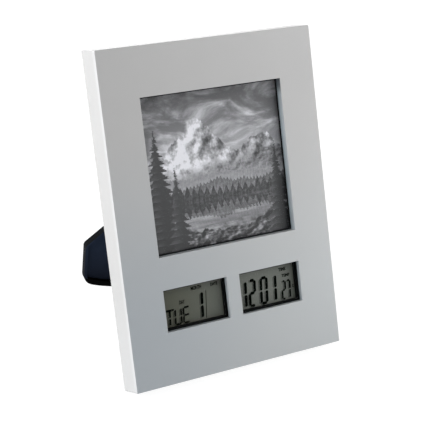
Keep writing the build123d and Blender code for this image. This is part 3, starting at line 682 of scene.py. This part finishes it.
def black_rubber():
    graph = Graph("black_rubber")
    speck = graph.noise(2400, detail=3.0)
    dust = graph.step(graph.noise(160, detail=5.0, roughness=0.7), 0.58, 0.78)
    colour = graph.blend(0.3 * speck + 0.4 * dust, tone(0), tone(5, 6, 6))
    normal = graph.bump(speck, 0.06 * MM, 0.8)
    return graph.finish(graph.surface(Base_Color=colour, Roughness=0.72 + 0.1 * dust,
                                      Specular_IOR_Level=0.015, Normal=normal))


def button_plastic():
    return matt_black("button_plastic", tone(56, 57, 59), tone(74, 75, 77), grain=3400,
                      depth=0.03 * MM, gloss=0.36)


FINISHES = [
    silver_shell, black_gasket, clear_pane, printed_paper, grey_board, black_foam, black_cover,
    steel_screw, black_bezel, clear_lens, display_glass, display_film, zebra_rubber,
    circuit_laminate, black_resin, plated_can, switch_plastic, battery_sleeve, lead_sleeve,
    brass_disc, navy_strut, black_rubber, button_plastic, clip_steel, dark_crystal,
    crystal_shadow,
]
MATERIALS = {finish.__name__: finish() for finish in FINISHES}


def dress_cad_nodes():
    """Gives every CAD node the finish of its material slot in the record."""
    for subpart in frame["record"]["subparts"]:
        mesh = frame["nodes"][subpart["node"]].data
        mesh.materials.clear()
        mesh.materials.append(MATERIALS[subpart["material_slot"]])


# Making pieces

PANE_CLEARANCE = 0.05 * MM
LETTER_CURVE_STEPS = 4


def add_object(name, data):
    made = bpy.data.objects.new(name, data)
    bpy.context.scene.collection.objects.link(made)
    return made


def evaluated_mesh(made):
    """An object's mesh with its curves filled and its modifiers applied."""
    bpy.context.view_layer.update()
    depsgraph = bpy.context.evaluated_depsgraph_get()
    return bpy.data.meshes.new_from_object(made.evaluated_get(depsgraph))


def add_piece(name, mesh, finish, body):
    mesh.materials.clear()
    mesh.materials.append(MATERIALS[finish])
    piece = add_object(name, mesh)
    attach(piece, body)
    return piece


def add_plate(building, outline, low, high, matrix):
    """Adds a flat plate with this outline between two levels above a plane."""
    rings = []
    for level in (low, high):
        rings.append([building.verts.new(matrix @ Vector((x, y, level))) for x, y in outline])
    bottom, top = rings
    building.faces.new(reversed(bottom))
    building.faces.new(top)
    for index in range(len(outline)):
        following = (index + 1) % len(outline)
        building.faces.new((bottom[index], bottom[following], top[following], top[index]))


def to_mesh(building, name):
    bmesh.ops.recalc_face_normals(building, faces=building.faces)
    mesh = bpy.data.meshes.new(name)
    building.to_mesh(mesh)
    building.free()
    return mesh


def letters_mesh(text, thickness, weight):
    """Lettering as a mesh of unit size, its strokes widened by a weight on each side."""
    curve = bpy.data.curves.new("letters", "FONT")
    curve.body = text
    curve.extrude = thickness / 2
    curve.offset = weight
    curve.resolution_u = LETTER_CURVE_STEPS
    holder = add_object("letters", curve)
    mesh = evaluated_mesh(holder)
    bpy.data.objects.remove(holder)
    bpy.data.curves.remove(curve)
    return mesh


def add_letters(building, text, left, low, width, height, thickness, matrix, weight=0.0):
    """Adds raised lettering that fills a box on a plane."""
    mesh = letters_mesh(text, thickness, weight)
    xs = [vertex.co.x for vertex in mesh.vertices]
    ys = [vertex.co.y for vertex in mesh.vertices]
    scale_x = width / (max(xs) - min(xs))
    scale_y = height / (max(ys) - min(ys))
    for vertex in mesh.vertices:
        x = left + (vertex.co.x - min(xs)) * scale_x
        y = low + (vertex.co.y - min(ys)) * scale_y
        vertex.co = matrix @ Vector((x, y, vertex.co.z + thickness / 2))
    building.from_mesh(mesh)
    bpy.data.meshes.remove(mesh)


def add_pane_sheet():
    """The clear pane, its back a hair in front of the print that it presses on."""
    mesh = frame["nodes"]["photo_window"].data.copy()
    back = span("photo_window", REAR)[1]
    for vertex in mesh.vertices:
        if back - vertex.co.dot(REAR) < PANE_CLEARANCE:
            vertex.co -= REAR * PANE_CLEARANCE
    piece = add_piece("pane_sheet", mesh, "clear_pane", "frame")
    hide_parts("photo_window")


# Digits and words of the two displays. A segment's ends are shares of its character's box

SEGMENT_ENDS = {
    "a": ((0, 1), (1, 1)), "b": ((1, 1), (1, 0.5)), "c": ((1, 0.5), (1, 0)), "d": ((0, 0), (1, 0)),
    "e": ((0, 0), (0, 0.5)), "f": ((0, 0.5), (0, 1)), "g": ((0, 0.5), (1, 0.5)),
    "i": ((0.5, 1), (0.5, 0.5)), "l": ((0.5, 0.5), (0.5, 0)),
}
LIT = {"0": "abcdef", "1": "bc", "2": "abged", "7": "abc", "T": "ail", "U": "bcdef", "E": "adefg"}
SLANT = 0.06
SEGMENT_GAP = 0.2 * MM
SEGMENT_TAPER_SHARE = 0.36
INK_LOW = 0.02 * MM
INK_HIGH = 0.05 * MM
WORD_WEIGHT = 0.042
SHADOW_LOW = 0.005 * MM
SHADOW_HIGH = 0.012 * MM
SHADOW_OFFSET = (-1.1 * MM, -0.35 * MM)


def segment_outline(start, end, stroke):
    """A straight bar with blunt pointed ends, a little short of both ends."""
    along = (end - start).normalized()
    beside = Vector((-along.y, along.x)) * (stroke / 2)
    start = start + along * SEGMENT_GAP
    end = end - along * SEGMENT_GAP
    taper = along * (stroke * SEGMENT_TAPER_SHARE)
    return [start, start + taper - beside, end - taper - beside, end, end - taper + beside,
            start + taper + beside]


def add_character(building, character, left, low, width, height, stroke, base, top, matrix):
    """Adds a segment character that fills a box on the display, leaning to the right."""
    for name in LIT[character]:
        ends = []
        for share_x, share_y in SEGMENT_ENDS[name]:
            x = stroke / 2 + share_x * (width - stroke)
            y = stroke / 2 + share_y * (height - stroke)
            ends.append(Vector((x, y)))
        outline = []
        for point in segment_outline(*ends, stroke):
            lean = (point.y - height / 2) * SLANT
            outline.append((left + point.x + lean, low + point.y))
        add_plate(building, outline, base, top, matrix)


def display_plane(lens):
    """The front of the film behind one lens, with its zero at the window's middle."""
    film_front = span("front_polarisers", REAR)[0]
    point = frame_point(middle(lens, ACROSS), middle(lens, UP), film_front)
    return plane_at(point, ACROSS, UP)


# Places on a display are from its middle, in millimetres: a character's left edge, low edge,
# width, height and stroke, and a word's left edge, low edge, width and height
TIME_CHARACTERS = [
    ("1", -20.5, -11.8, 5.9, 18.6, 1.9),
    ("2", -13.5, -11.8, 5.7, 18.6, 1.9),
    ("0", -4.9, -11.8, 6.1, 18.6, 1.9),
    ("1", 2.0, -11.8, 5.9, 18.6, 1.9),
    ("2", 11.3, -11.8, 3.5, 13.0, 1.25),
    ("7", 14.9, -11.8, 3.5, 13.0, 1.25),
]
TIME_WORDS = [
    ("TIME", 10.3, 7.6, 5.6, 2.3),
    ("TEMP", 12.3, 3.3, 6.1, 2.1),
    ("C", 19.4, -4.8, 1.5, 2.0),
]
CALENDAR_CHARACTERS = [
    ("1", 1.5, -11.8, 5.9, 18.6, 1.9),
    ("T", -20.7, -11.8, 7.6, 10.9, 1.15),
    ("U", -13.75, -11.8, 5.3, 10.9, 1.15),
    ("E", -7.85, -11.8, 5.3, 10.9, 1.15),
]
CALENDAR_WORDS = [
    ("MONTH", -0.4, 8.2, 7.5, 2.4),
    ("DATE", 13.6, 8.3, 5.1, 2.1),
    ("DAY", -9.5, 0.9, 3.9, 2.6),
]
CALENDAR_RULE = [(8.2, -11.5), (8.65, -11.5), (10.25, 6.2), (9.8, 6.2)]


def scaled(points):
    return [(x * MM, y * MM) for x, y in points]


def display_ink_mesh(name, characters, words, rules, matrix, low, high):
    building = bmesh.new()
    for character, *box in characters:
        add_character(building, character, *[size * MM for size in box], low, high, matrix)
    for text, *box in words:
        lifted = matrix @ Matrix.Translation((0, 0, low))
        add_letters(building, text, *[size * MM for size in box], high - low, lifted, WORD_WEIGHT)
    for outline in rules:
        add_plate(building, scaled(outline), low, high, matrix)
    return to_mesh(building, name)


def add_display_ink(name, lens, characters, words, rules=()):
    """Adds the driven segments, and their faint shadow on the reflector behind the glass."""
    matrix = display_plane(lens)
    ink = display_ink_mesh(name, characters, words, rules, matrix, INK_LOW, INK_HIGH)
    add_piece(name, ink, "dark_crystal", "frame")
    offset = matrix @ Matrix.Translation((*SHADOW_OFFSET, 0))
    shadow_name = name + "_shadow"
    shadow = display_ink_mesh(shadow_name, characters, (), (), offset, SHADOW_LOW, SHADOW_HIGH)
    add_piece(shadow_name, shadow, "crystal_shadow", "frame")


# Screws with a cross recess. The recess is in shares of the head's radius and height, and its
# arms in shares of their length at the top of the head

COVER_SCREW_HEAD = 1.4 * MM
CLIP_SCREW_HEAD = 1.1 * MM
WELD_DISTANCE = 0.001 * MM
SCREW_SIDES = 40
SCREW_SPIN = 1.1
CROSS_LENGTH_SHARE = 1.15
CROSS_WIDTH_SHARE = 0.26
CROSS_DEPTH_SHARE = 0.6
CROSS_FLOOR_SHARE = 0.45
CROSS_ABOVE_SHARE = 1.55

# A screw's point in shares of its shank's radius and of its length, and its domed head in
# shares of the head's radius and of its height
POINT_SHARES = [(0, 1), (0.5, 1), (1, 0.93)]
DOME_SHARES = [(1, 1), (1, 0.55), (0.97, 0.33), (0.86, 0.1375), (0.5, 0.0275), (0, 0)]

# Corners of a block's low and high face, and its six faces by the numbers of their corners
BLOCK_CORNERS = [(-1, -1), (1, -1), (1, 1), (-1, 1)]
BLOCK_FACES = [
    (3, 2, 1, 0), (4, 5, 6, 7), (0, 1, 5, 4), (1, 2, 6, 5), (2, 3, 7, 6), (3, 0, 4, 7),
]


def solids_of(node):
    """The points of each separate solid of a CAD node, grouped where they are joined."""
    building = bmesh.new()
    building.from_mesh(frame["nodes"][node].data)
    bmesh.ops.remove_doubles(building, verts=building.verts, dist=WELD_DISTANCE)
    reached = set()
    solids = []
    for start in building.verts:
        if start in reached:
            continue
        reached.add(start)
        waiting = [start]
        found = []
        while waiting:
            vertex = waiting.pop()
            found.append(vertex.co.copy())
            for edge in vertex.link_edges:
                other = edge.other_vert(vertex)
                if other not in reached:
                    reached.add(other)
                    waiting.append(other)
        solids.append(found)
    building.free()
    return solids


def turned_mesh(name, profile):
    """A closed round body about Z from its (radius, level) profile."""
    building = bmesh.new()
    rings = []
    for radius, level in profile:
        if radius == 0:
            rings.append([building.verts.new((0, 0, level))])
            continue
        ring = []
        for side in range(SCREW_SIDES):
            angle = 2 * math.pi * side / SCREW_SIDES
            point = (radius * math.cos(angle), radius * math.sin(angle), level)
            ring.append(building.verts.new(point))
        rings.append(ring)
    for lower, upper in zip(rings, rings[1:]):
        for side in range(SCREW_SIDES):
            following = (side + 1) % SCREW_SIDES
            corners = [lower[side % len(lower)], lower[following % len(lower)],
                       upper[following % len(upper)], upper[side % len(upper)]]
            building.faces.new(dict.fromkeys(corners))
    return to_mesh(building, name)


def cross_mesh(arm_length, arm_width, depth):
    """Two crossed blocks that narrow downwards, to as far above zero as they are deep."""
    building = bmesh.new()
    y = arm_width / 2
    for turn in (0, math.pi / 2):
        spin = Matrix.Rotation(turn, 4, "Z")
        corners = []
        for level, share in ((-depth, CROSS_FLOOR_SHARE), (depth, CROSS_ABOVE_SHARE)):
            x = arm_length / 2 * share
            for sign_x, sign_y in BLOCK_CORNERS:
                point = spin @ Vector((sign_x * x, sign_y * y, level))
                corners.append(building.verts.new(point))
        for face in BLOCK_FACES:
            building.faces.new([corners[index] for index in face])
    return to_mesh(building, "screw_cutter")


def cut_away(mesh, cutter_mesh):
    body = add_object("screw_body", mesh)
    cutter = add_object("screw_cutter", cutter_mesh)
    cut = body.modifiers.new("cross", "BOOLEAN")
    cut.operation = "DIFFERENCE"
    cut.solver = "EXACT"
    cut.use_self = True
    cut.object = cutter
    result = evaluated_mesh(body)
    for made in (body, cutter):
        bpy.data.objects.remove(made)
    return result


def screw_mesh(head_radius, head_height, shank_radius, length):
    """A screw along Z with the middle of its head's top at zero."""
    profile = [(shank_radius * x, -length * down) for x, down in POINT_SHARES]
    profile.append((shank_radius, -head_height))
    profile += [(head_radius * x, -head_height * down) for x, down in DOME_SHARES]
    cross = cross_mesh(head_radius * CROSS_LENGTH_SHARE, head_radius * CROSS_WIDTH_SHARE,
                       head_height * CROSS_DEPTH_SHARE)
    return cut_away(turned_mesh("screw", profile), cross)


def add_screws(node, head_height):
    """Replaces a node's plain screws by ones with a rounded head and a cross recess."""
    building = bmesh.new()
    for turn, points in enumerate(solids_of(node)):
        across = [point.dot(ACROSS) for point in points]
        up = [point.dot(UP) for point in points]
        rear = [point.dot(REAR) for point in points]
        centre = (max(across) + min(across)) / 2
        length = max(rear) - min(rear)
        shank = max(point.dot(ACROSS) - centre for point in points
                    if point.dot(REAR) < min(rear) + length / 4)
        screw = screw_mesh((max(across) - min(across)) / 2, head_height, shank, length)
        top = frame_point(centre, (max(up) + min(up)) / 2, max(rear))
        spin = Matrix.Rotation(turn * SCREW_SPIN, 4, "Z")
        screw.transform(plane_at(top, -ACROSS, UP) @ spin)
        building.from_mesh(screw)
        bpy.data.meshes.remove(screw)
    mesh = to_mesh(building, "crossed_" + node)
    piece = add_piece("crossed_" + node, mesh, "steel_screw", "frame")
    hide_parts(node)


# Raised lettering on the rear, read from behind

LETTER_RISE = 0.25 * MM
LETTER_HEIGHT = 2.3 * MM
LETTER_WIDTH = 1.75 * MM
NAME_DROP = 4.6 * MM
BUTTON_NAMES = {
    "mode_button": "MODE", "set_button": "SET", "down_button": "DOWN", "up_button": "UP",
}

# On the battery door, from its middle: the word's left edge, low edge, width and height, and
# the arrow's outline in millimetres
OPEN_BOX = (-4 * MM, -1.2 * MM, 8 * MM, 2.4 * MM)
OPEN_ARROW = [(-12.5, 0), (-9, -2.2), (-9, -0.7), (-6, -0.7), (-6, 0.7), (-9, 0.7), (-9, 2.2)]

POLE_ARM = 1.5 * MM
POLE_HALF_STROKE = 0.3 * MM
POLE_DROP = 6 * MM
PLUS_GAP = 9 * MM
MINUS_GAP = 4 * MM


def rear_plane(across, up):
    """A plane on the rear cover's back, for reading from behind."""
    return plane_at(frame_point(across, up, span("rear_cover", REAR)[1]), -ACROSS, UP)


def add_marks(name, building, body):
    add_piece(name, to_mesh(building, name), "black_cover", body)


def add_button_names():
    building = bmesh.new()
    for node, text in BUTTON_NAMES.items():
        width = LETTER_WIDTH * len(text)
        plane = rear_plane(middle(node, ACROSS), span(node, UP)[0] - NAME_DROP)
        add_letters(building, text, -width / 2, 0, width, LETTER_HEIGHT, LETTER_RISE, plane)
    add_marks("button_names", building, "frame")


def add_door_marks():
    """An arrow and the word OPEN on the battery door, beside its grip ridges."""
    building = bmesh.new()
    plane = rear_plane(middle("battery_door", ACROSS), middle("battery_door", UP))
    add_letters(building, "OPEN", *OPEN_BOX, LETTER_RISE, plane)
    add_plate(building, scaled(OPEN_ARROW), 0, LETTER_RISE, plane)
    add_marks("battery_door_marks", building, "battery_door")


def plus_outline(arm, half):
    """The outline of a plus: one arm's three corners, turned four times."""
    corners = [(-arm, -half), (-half, -half), (-half, -arm)]
    outline = []
    for turn in range(4):
        outline += corners
        corners = [(-y, x) for x, y in corners]
    return outline


def minus_outline(arm, half):
    return [(-arm, -half), (arm, -half), (arm, half), (-arm, half)]


def add_pole_marks():
    """A plus and a minus beside the ends of the battery door."""
    building = bmesh.new()
    low, high = span("battery_door", ACROSS)
    height = middle("battery_door", UP) - POLE_DROP
    for place, shape in ((high + PLUS_GAP, plus_outline), (low - MINUS_GAP, minus_outline)):
        outline = shape(POLE_ARM, POLE_HALF_STROKE)
        add_plate(building, outline, 0, LETTER_RISE, rear_plane(place, height))
    add_marks("pole_marks", building, "frame")


# Stage, world, lamps and camera

BACKGROUND_SHARE = 0.84
BACKGROUND_GLOW = 0.935
BOUNCE_SHARE = 0.8
FLOOR_SIZE = 8.0
AMBIENT = 0.20

# Each lamp's place, size and exposure, its share of the light that shows a colour as written
LAMPS = {
    "left_softbox": ((-1.25, 0.5, 0.55), 0.8, 1.18),
    "front_softbox": ((-0.75, -0.5, 0.85), 0.6, 0.38),
    "right_softbox": ((0.45, -0.3, 0.12), 0.3, 0.33),
    "high_softbox": ((0.35, -0.35, 0.5), 0.3, 0.17),
    "rear_softbox": ((0.3, 1.1, 0.6), 0.6, 0.35),
}
LAMP_TARGET = Vector((0.0, -0.02, 0.1))

CAMERA_PLACE = Vector((-0.3464, -0.6053, 0.4507))
CAMERA_VIEW = Vector((0.4484, 0.7663, -0.4602))
CAMERA_UP = Vector((0.1705, 0.4321, 0.8856))
CAMERA_LENS = 102.12
CAMERA_SENSOR = 36.0
CAMERA_NEAR = 0.05
CAMERA_FAR = 20.0


def seen_directly(graph):
    """1 for camera, glossy and transmission rays, and 0 for the rays that light things."""
    total = graph.node("ShaderNodeLightPath", {}, "Is Camera Ray")
    for ray in ("Is Glossy Ray", "Is Transmission Ray"):
        total = graph.math("MAXIMUM", total, graph.node("ShaderNodeLightPath", {}, ray))
    return total


def pale_floor():
    """A white floor that still takes the object's shadow faintly."""
    graph = Graph("pale_floor")
    seen = seen_directly(graph)
    shade = graph.mix(seen, BOUNCE_SHARE, 1.0 - BACKGROUND_SHARE)
    pale = graph.blend(graph.noise(60), tone(250), WHITE)
    paper = graph.node("ShaderNodeBsdfDiffuse", {"Color": pale})
    dim = graph.node("ShaderNodeMixShader", {0: shade, 2: paper})
    strength = seen * BACKGROUND_GLOW
    glow = graph.node("ShaderNodeEmission", {"Color": WHITE, "Strength": strength})
    return graph.finish(graph.node("ShaderNodeAddShader", {0: dim, 1: glow}))


def add_floor():
    half = FLOOR_SIZE / 2
    mesh = bpy.data.meshes.new("floor")
    corners = [(-half, -half, 0), (half, -half, 0), (half, half, 0), (-half, half, 0)]
    mesh.from_pydata(corners, [], [(0, 1, 2, 3)])
    mesh.materials.append(pale_floor())
    floor = add_object("floor", mesh)


def light_world():
    """Plain ambient light, and white where the camera or a gloss sees past the floor."""
    graph = Graph("studio", bpy.data.worlds)
    ambient = graph.node("ShaderNodeBackground", {"Color": WHITE, "Strength": AMBIENT})
    white = graph.node("ShaderNodeBackground", {"Color": WHITE, "Strength": 1.0})
    shader = graph.mixed_shader(seen_directly(graph), ambient, white)
    bpy.context.scene.world = graph.finish(shader, "ShaderNodeOutputWorld")


def add_lamps():
    """Square soft lamps that look at the clock."""
    for name, (place, size, exposure) in LAMPS.items():
        aim = LAMP_TARGET - Vector(place)
        lamp = bpy.data.lights.new(name, "AREA")
        lamp.shape = "SQUARE"
        lamp.size = size
        lamp.energy = exposure * (math.pi * aim.length) ** 2
        holder = add_object(name, lamp)
        holder.location = place
        holder.rotation_euler = aim.to_track_quat("-Z", "Y").to_euler()


def add_camera():
    camera = bpy.data.cameras.new("camera")
    camera.lens = CAMERA_LENS
    camera.sensor_width = CAMERA_SENSOR
    camera.clip_start = CAMERA_NEAR
    camera.clip_end = CAMERA_FAR
    view = CAMERA_VIEW.normalized()
    right = view.cross(CAMERA_UP).normalized()
    holder = add_object("camera", camera)
    holder.matrix_world = plane_at(CAMERA_PLACE, right, right.cross(view))
    bpy.context.scene.camera = holder


dress_cad_nodes()
add_pane_sheet()
add_display_ink("time_digits", "time_lens", TIME_CHARACTERS, TIME_WORDS)
add_display_ink("calendar_digits", "calendar_lens", CALENDAR_CHARACTERS, CALENDAR_WORDS,
                [CALENDAR_RULE])
add_screws("cover_screws", COVER_SCREW_HEAD)
add_screws("clip_screws", CLIP_SCREW_HEAD)
add_button_names()
add_door_marks()
add_pole_marks()
add_floor()
light_world()
add_lamps()
add_camera()
bpy.context.scene.view_settings.view_transform = "Standard"
